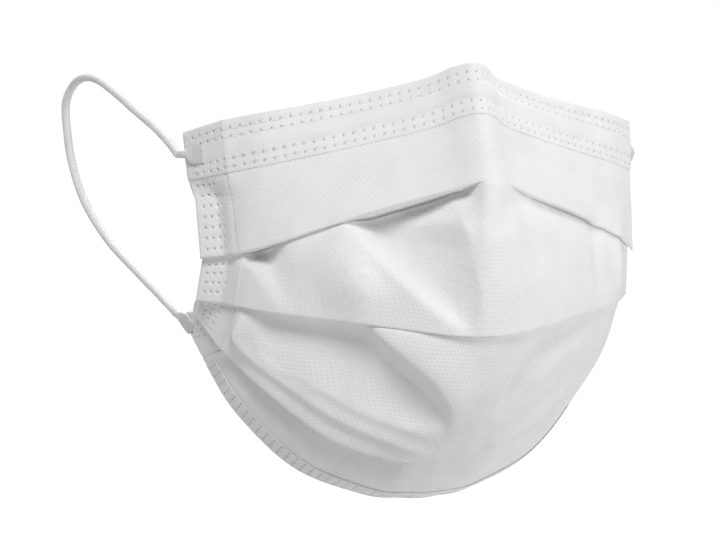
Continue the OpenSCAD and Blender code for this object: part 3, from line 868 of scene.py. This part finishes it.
def pits(across, down, columns_at, rows_at):
    """How deep the pits are at each place of a grid whose columns and rows are given in mm."""
    x = np.abs(across[None, :, None] - np.asarray(columns_at)[None, None, :]).min(-1)
    y = np.abs(down[:, None, None] - np.asarray(rows_at)[None, None, :]).min(-1)
    return PIT_DEPTH * (1 - smoothstep(np.hypot(x, y) / (PIT_W / 2), 0.66, 1))


# Centres and normals of the discs, for each body and for the side bands
DOT_PLACES = {"upper_panel": [], "lower_panel": [], "side_band": []}

# %% [markdown]
# ## Hems
# A strip of the same cloth is folded over the top edge and welded along two double rows of dots. The
# nose wire lies between them, and the strip swells over it. The bottom edge has a narrower strip.

# %% Top hem
HEM_W = 15
HEM_ROWS = [2.5, 4.9, 11.0, 13.4]
DOT_PITCH = 2.87
WIRE_LEN = 100
# The wire's channel, in mm down the hem: where it starts to swell, is full, starts to sink and ends
CHANNEL = (4.6, 6.3, 8.8, 10.4)
STRIP_GAP = 0.16
END_ROOM = 1.2
FILM_AT = PLY_T - PIT_DEPTH + FILM_LIFT


def hem_swell(run, down):
    """How far the strip's front stands off the cloth, more where the nose wire lies under it."""
    over = smoothstep(down, *CHANNEL[:2]) * (1 - smoothstep(down, *CHANNEL[2:]))
    along = 1 - smoothstep(np.abs(run), WIRE_LEN / 2 - 2, WIRE_LEN / 2 + 5)
    loose = 0.05 * np.sin(run / 5.1) * np.sin(run / 2.3 + 1) * over
    edge = 0.12 * smoothstep(down, HEM_W - 1.1, HEM_W)
    return STRIP_GAP + 0.66 * over * along + 0.15 * over * (1 - along) + loose - edge


def edge_share(k, t, down):
    """The share of panel k's height at down mm from the mask's own edge, top or bottom."""
    share = down / panel_height(k, t)
    return share if k == 0 else 1 - share


def strip_rows(k, t, across, downs, dents, swell):
    """Front and back faces of a strip folded over the edge of panel k."""
    front, back = [], []

    def add(down, outer, inner):
        front.append(cloth_row(k, t, edge_share(k, t, down[0]), -outer))
        back.append(cloth_row(k, t, edge_share(k, t, down[1]), -inner))

    for down, dent in zip(downs[::-1], dents[::-1]):
        lift = swell(across, down) - dent
        pressed = 1 - 0.6 * float(smoothstep(down, downs[-1] - 0.8, downs[-1]))
        add((down, down), lift + PLY_T * pressed, lift)
    # Over the edge of the cloth and down behind it
    rim, middle, outer_r, inner_r = 0.35, -0.32, 0.68, 0.48
    for turn in np.linspace(75, -90, 9):
        c, s = math.cos(math.radians(turn)), math.sin(math.radians(turn))
        add((rim - outer_r * c, rim - inner_r * c), middle + outer_r * s, middle + inner_r * s)
    for down in np.linspace(1.5, downs[-1] - 0.4, 9):
        add((down, down), middle - outer_r, middle - inner_r)
    # At the top the rows are turned round, so that they run down the mask as all the others do
    way = -1 if k == 0 else 1
    return np.array(front[::way]), np.array(back[::way])


def folded_strip(name, k, edge, across, downs, dots, rows_at, swell):
    """A strip over an edge, given as its stations and its runs, with columns and rows in mm and pits
    where the dots cross rows_at. Its discs join the list of panel k's body."""
    t, dots_t = [np.interp(run, edge[1], edge[0]) for run in (across, dots)]
    front, back = strip_rows(k, t, across, downs, pits(across, downs, dots, rows_at), swell)
    for down in rows_at:
        f = edge_share(k, dots_t, down)
        discs = cloth_row(k, dots_t, f, -swell(dots, down) - FILM_AT), -inward(k, dots_t, f)
        DOT_PLACES["upper_panel" if k == 0 else "lower_panel"].append(discs)
    return sheet_object(name, [front], [back], hem_cloth)


top_edge = runs(lambda t: panel_point(0, t, np.zeros_like(t)), LAST + 1)
low, high = top_edge[1][[0, -1]]
dots = np.arange(-33, 34) * DOT_PITCH + 0.4
dots = dots[(dots > low + END_ROOM) & (dots < high - END_ROOM)]
across = around(dots, low + 0.02, high - 0.02, 0.7)
downs = around(HEM_ROWS, 0.7, HEM_W, 0.7)
top_hem = folded_strip("top_hem_strip", 0, top_edge, across, downs, dots, HEM_ROWS, hem_swell)
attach(top_hem, "upper_panel")
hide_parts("top_hem")

# %% Bottom hem
LOW_HEM_W = 6
LOW_HEM_ROWS = [1.4, 3.0, 4.6]
low_edge = runs(lambda t: rail_point(4, t), LAST)
low_end = float(np.interp(LAST - 0.1, *low_edge))
dots = (np.arange(-40, 41) + 0.5) * DOT_PITCH
dots = dots[np.abs(dots) < low_end - 0.8]
across = around(dots, -low_end, low_end, 0.7)
downs = around(LOW_HEM_ROWS, 0.7, LOW_HEM_W, 0.6)
bottom_hem = folded_strip(
    "bottom_hem_strip", 3, low_edge, across, downs, dots, LOW_HEM_ROWS, lambda run, down: STRIP_GAP
)
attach(bottom_hem, "lower_panel")
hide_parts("bottom_hem")

# %% [markdown]
# ## Side bands
# Each band is a strip at the end of the pleated cloth, welded flat with four columns of dots. Its
# parts overlap like the panels, and its inner margin reaches behind them.

# %% Bands
BAND_COLUMNS = [7.4, 9.5, 11.6, 13.7]
BAND_PITCH = 3.05
MARGIN = 3


def band_part(side, k):
    """One part of a band between two pleats: its front, its back and its dots."""
    w = around(BAND_COLUMNS, -MARGIN, BAND_W, 0.8)
    t = side * (LAST + np.where(w < 0, w / BEND_MM, w / BAND_W))
    if side < 0:
        w, t = w[::-1], t[::-1]
    high = float(panel_height(k, np.array([side * 5.0]))[0])
    # The first part starts under the hem's lower edge, and each other one behind the part above it
    start, first_dot = (HEM_W - 1, HEM_W + 2.2) if k == 0 else (-1.5, 2.4)
    rows_at = np.arange(first_dot, high - 1.0, BAND_PITCH)
    down = around(rows_at, start, high, 0.8)
    dents = pits(w, down, BAND_COLUMNS, rows_at)
    sink = 0.3 * (1 - smoothstep(w, 0.8, 2.2)) + 2.1 * smoothstep(-w, 0.1, 1.3)
    shares = [np.full(len(t), d / high) for d in down]
    front = np.array([cloth_row(k, t, f, sink + dent) for f, dent in zip(shares, dents)])
    back = np.array([cloth_row(k, t, f, sink + STACK_T) for f in shares])
    dots_w, dots_d = np.meshgrid(BAND_COLUMNS, rows_at)
    dots_t = side * (LAST + dots_w.ravel() / BAND_W)
    share = dots_d.ravel() / high
    dots = cloth_row(k, dots_t, share, PIT_DEPTH - FILM_LIFT), -inward(k, dots_t, share)
    return front, back, dots


for side, word in ((-1, "left"), (1, "right")):
    fronts, backs = [], []
    for k in range(4):
        front, back, dots = band_part(side, k)
        fronts.append(front)
        backs.append(back)
        DOT_PLACES["side_band"].append(dots)
    band = sheet_object(word + "_side_band", fronts, backs, hem_cloth)
    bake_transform(band)
    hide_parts(word + "_weld_band")

# %% [markdown]
# ## Glazed discs
# One small tree sets a disc on every point of a cloud, turned to that point's own normal. The discs
# become a plain mesh for each body.

# %% Disc material and tree


def glazed():
    """Melted polypropylene: a thin film, smoother than the fibres round it. Its grey is partly the film's
    own tone and partly painted shade of the pit it lies in.
    """
    material, tree = new_material("glazed_weld_and_painted_pit_shade")
    principled(tree, Base_Color=colour("#ABADAF"), Roughness=0.4, IOR=1.49)
    return material


weld_film_and_pit_shade = glazed()
# In mm
DISC_R = 0.4


def disc_tree():
    tree = bpy.data.node_groups.new("discs_on_points", "GeometryNodeTree")
    for name, kind in (("Points", "Geometry"), ("Disc radius", "Float"), ("Film", "Material")):
        tree.interface.new_socket(name, in_out="INPUT", socket_type="NodeSocket" + kind)
    tree.interface.new_socket("Discs", in_out="OUTPUT", socket_type="NodeSocketGeometry")
    start = tree.nodes.new("NodeGroupInput")
    radius = start.outputs["Disc radius"]
    disc = add_node(tree, "GeometryNodeMeshCircle", {"fill_type": "NGON"}, Vertices=10, Radius=radius)
    vector = {"data_type": "FLOAT_VECTOR"}
    facing = add_node(tree, "GeometryNodeInputNamedAttribute", vector, Name="facing")
    turned = add_node(
        tree, "FunctionNodeAlignRotationToVector", {"axis": "Z"}, Vector=facing.outputs["Attribute"]
    )
    copies = add_node(
        tree,
        "GeometryNodeInstanceOnPoints",
        Points=start.outputs["Points"],
        Instance=disc.outputs["Mesh"],
        Rotation=turned.outputs["Rotation"],
    )
    real = add_node(tree, "GeometryNodeRealizeInstances", Geometry=copies.outputs["Instances"])
    sockets = {"Geometry": real.outputs["Geometry"], "Material": start.outputs["Film"]}
    painted = add_node(tree, "GeometryNodeSetMaterial", **sockets)
    end = tree.nodes.new("NodeGroupOutput")
    tree.links.new(painted.outputs["Geometry"], end.inputs["Discs"])
    return tree


discs_on_points = disc_tree()


def disc_object(name, places):
    """The discs at all these places as one plain mesh."""
    points = np.vstack([p for p, n in places])
    normals = np.vstack([n for p, n in places])
    cloud = bpy.data.meshes.new(name + "_points")
    cloud.from_pydata((points * MM).tolist(), [], [])
    cloud.attributes.new("facing", "FLOAT_VECTOR", "POINT").data.foreach_set("vector", normals.ravel())
    thing = linked(name + "_points", cloud)
    modifier = thing.modifiers.new("discs", "NODES")
    modifier.node_group = discs_on_points
    inputs = {item.name: item.identifier for item in discs_on_points.interface.items_tree}
    modifier[inputs["Disc radius"]] = DISC_R * MM
    modifier[inputs["Film"]] = weld_film_and_pit_shade
    graph = bpy.context.evaluated_depsgraph_get()
    mesh = bpy.data.meshes.new_from_object(thing.evaluated_get(graph))
    mesh.name = name
    bpy.data.objects.remove(thing)
    print(name, len(points), "dots")
    return linked(name, mesh)


for body, places in DOT_PLACES.items():
    discs = disc_object(body + "_weld_dots", places)
    if body == "side_band":
        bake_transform(discs)
    else:
        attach(discs, body)

# %% [markdown]
# ## Cord welds
# The end of each cord is melted flat onto the band under a knurled horn, which leaves a small grid of
# raised squares. The tube squashes from round to flat on its way to the band.

# %% Cord welds
# All in mm: half the flat end's width and height, half its length, and the knurl's step and height
MELT_W, MELT_H, MELT_L = 2.7, 0.3, 2.6
KNURL, KNURL_H = 0.7, 0.2
MELT_SIDES = 28


def weld_object(name, side, k, w, share, lift, cord_end, inner):
    """A cord's end melted onto the cloth w mm past the bend, at this share of panel k's height and
    lift mm off it. inner is the place that the flat end points to, as mm and share from its own."""
    t = np.array([side * (LAST + w / BAND_W)])
    f = np.array([share])
    out = -inward(k, t, f)[0]
    seat = panel_point(k, t, f)[0] + out * (lift - relief_at(k, t, f)[0] + 0.1)
    end = np.array(cord_end) / MM
    inner_at = panel_point(k, t + side * inner[0] / BAND_W, f + inner[1])[0]
    ahead = unit(inner_at - seat)
    start = end + unit(seat + out * 1.2 - end) * 0.1
    near, far = seat - ahead * MELT_L, seat + ahead * MELT_L
    middle = (start + near) / 2
    path = [start, middle + out * 0.5, near + out * 0.45, seat + out * 0.22, far + out * 0.16]
    line = through(path, 12)
    run = run_along(line)
    share_along = run / run[-1]
    flat = smoothstep(share_along, 0.25, 0.6)
    forward = unit(np.gradient(line, axis=0))
    across = unit(np.cross(forward, out))
    up = np.cross(across, forward)
    r = CORD_D / MM / 2 * 0.96
    half_w = r + (MELT_W - r) * flat
    half_h = r + (MELT_H - r) * flat
    end_cap = np.sqrt(np.clip(1 - ((share_along - 0.93) / 0.07).clip(0, 1) ** 2, 0.02, 1))
    start_cap = np.sqrt(np.clip(1 - ((0.1 - share_along) / 0.1).clip(0, 1) ** 2, 0.05, 1))
    caps = (end_cap * start_cap)[:, None]
    turn = np.linspace(0, 2 * math.pi, MELT_SIDES + 1)
    power = 1 - 0.45 * flat[:, None]
    c, s = np.cos(turn)[None], np.sin(turn)[None]
    x = np.sign(c) * np.abs(c) ** power * half_w[:, None] * caps
    y = np.sign(s) * np.abs(s) ** power * half_h[:, None] * (0.1 + 0.9 * caps)
    ridges = np.maximum(np.sin(run[:, None] * math.pi / KNURL), 0)
    knurl = ridges * np.maximum(np.cos(x * math.pi / KNURL), 0)
    y = y + KNURL_H * knurl * smoothstep(flat, 0.75, 1.0)[:, None] * (s > 0.25)
    rings = line[:, None] + x[..., None] * across[:, None] + y[..., None] * up[:, None]
    thing = tube_object(name, rings, melted_cord)
    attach(thing, "upper_panel")
    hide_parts(name.replace("_melted_end", "_loop_weld"))
    print(name, "at", [round(float(x), 1) for x in seat])


def melt():
    """Nylon and polypropylene melted together under the horn: smooth, hard and slightly grey."""
    material, tree = new_material("melted_cord_end")
    tone = mixed(tree, noise(tree, 0.6, 2.0), "#C9CBCB", "#F1F2F2")
    principled(tree, Base_Color=tone, Roughness=0.4, IOR=1.5)
    return material


melted_cord = melt()
# The upper end is halfway down the hem, and the lower one is near the band's lower corner
top_high = float(panel_height(0, np.array([5.0]))[0])
for side, word, route in ((-1, "left", LEFT_ROUTE), (1, "right", RIGHT_ROUTE)):
    end = word + "_melted_end"
    weld_object("upper_" + end, side, 0, 11.2, 7.6 / top_high, 0.36, route[0], (-4, 0.02))
    weld_object("lower_" + end, side, 3, 12.4, 0.82, 0.2, route[-1], (-4, -0.05))

# %% [markdown]
# ## Nose wire
# The wire is hidden in the hem. Its solid is right as it is, and takes the finish of soft aluminium.

# %% Nose wire material


def aluminium():
    """Rolled and annealed: a dull silver."""
    material, tree = new_material("annealed_aluminium_strip")
    principled(tree, Base_Color=colour("#D5D6D8"), Metallic=1.0, Roughness=0.38)
    return material


wire_metal = aluminium()
for wire_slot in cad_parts["nose_wire"].material_slots:
    wire_slot.material = wire_metal

# %% [markdown]
# ## Light
# Three large soft lamps: one high on the left and one low on the right, both in front, and one above
# and behind. Cloth that faces down catches little of them, and only a dim white room fills it. To the
# camera and in reflections the room is white.

# %% Room and lamps
world = bpy.data.worlds.new("white_room")
world.use_nodes = True
room = world.node_tree
room.nodes.clear()
path = add_node(room, "ShaderNodeLightPath")
seen = maths_in(room)("MAXIMUM", path.outputs["Is Camera Ray"], path.outputs["Is Glossy Ray"])
fill = add_node(room, "ShaderNodeBackground", Color=colour("#FFFFFF"), Strength=0.13)
white = add_node(room, "ShaderNodeBackground", Color=colour("#FFFFFF"), Strength=1.0)
either = add_node(room, "ShaderNodeMixShader", in_0=seen, in_1=fill.outputs[0], in_2=white.outputs[0])
add_node(room, "ShaderNodeOutputWorld", Surface=either.outputs[0])
bpy.context.scene.world = world
bpy.context.scene.view_settings.view_transform = "Standard"

MASK_MIDDLE = (0, 0, -0.02)
LAMP_SIZE = 0.6
for name, place, watts in (
    ("key_lamp", (-0.5, -0.85, 1.0), 11.5),
    ("right_lamp", (1.1, -0.8, 0.05), 7.5),
    ("top_lamp", (0.2, 0.7, 1.1), 15),
):
    lamp = bpy.data.lights.new(name, "AREA")
    lamp.shape = "DISK"
    lamp.size = LAMP_SIZE
    lamp.energy = watts
    look_at(bpy.data.objects.new(name, lamp), place, MASK_MIDDLE)

# %% Floor
# Its own light, for the camera alone, brings it near the room's white, so that no horizon shows
bpy.ops.mesh.primitive_plane_add(size=30, location=(0, 0, -0.16))
floor = bpy.context.object
floor.name = "studio_floor"
pale, tree = new_material("pale_floor")
matt = add_node(tree, "ShaderNodeBsdfDiffuse", Color=colour("#C6C6C6"))
path = add_node(tree, "ShaderNodeLightPath")
lift = maths_in(tree)("MULTIPLY", path.outputs["Is Camera Ray"], 0.96)
glow = add_node(tree, "ShaderNodeEmission", Color=colour("#FFFFFF"), Strength=lift)
both = add_node(tree, "ShaderNodeAddShader", in_0=matt.outputs[0], in_1=glow.outputs[0])
finish_material(tree, both.outputs[0])
floor.data.materials.append(pale)
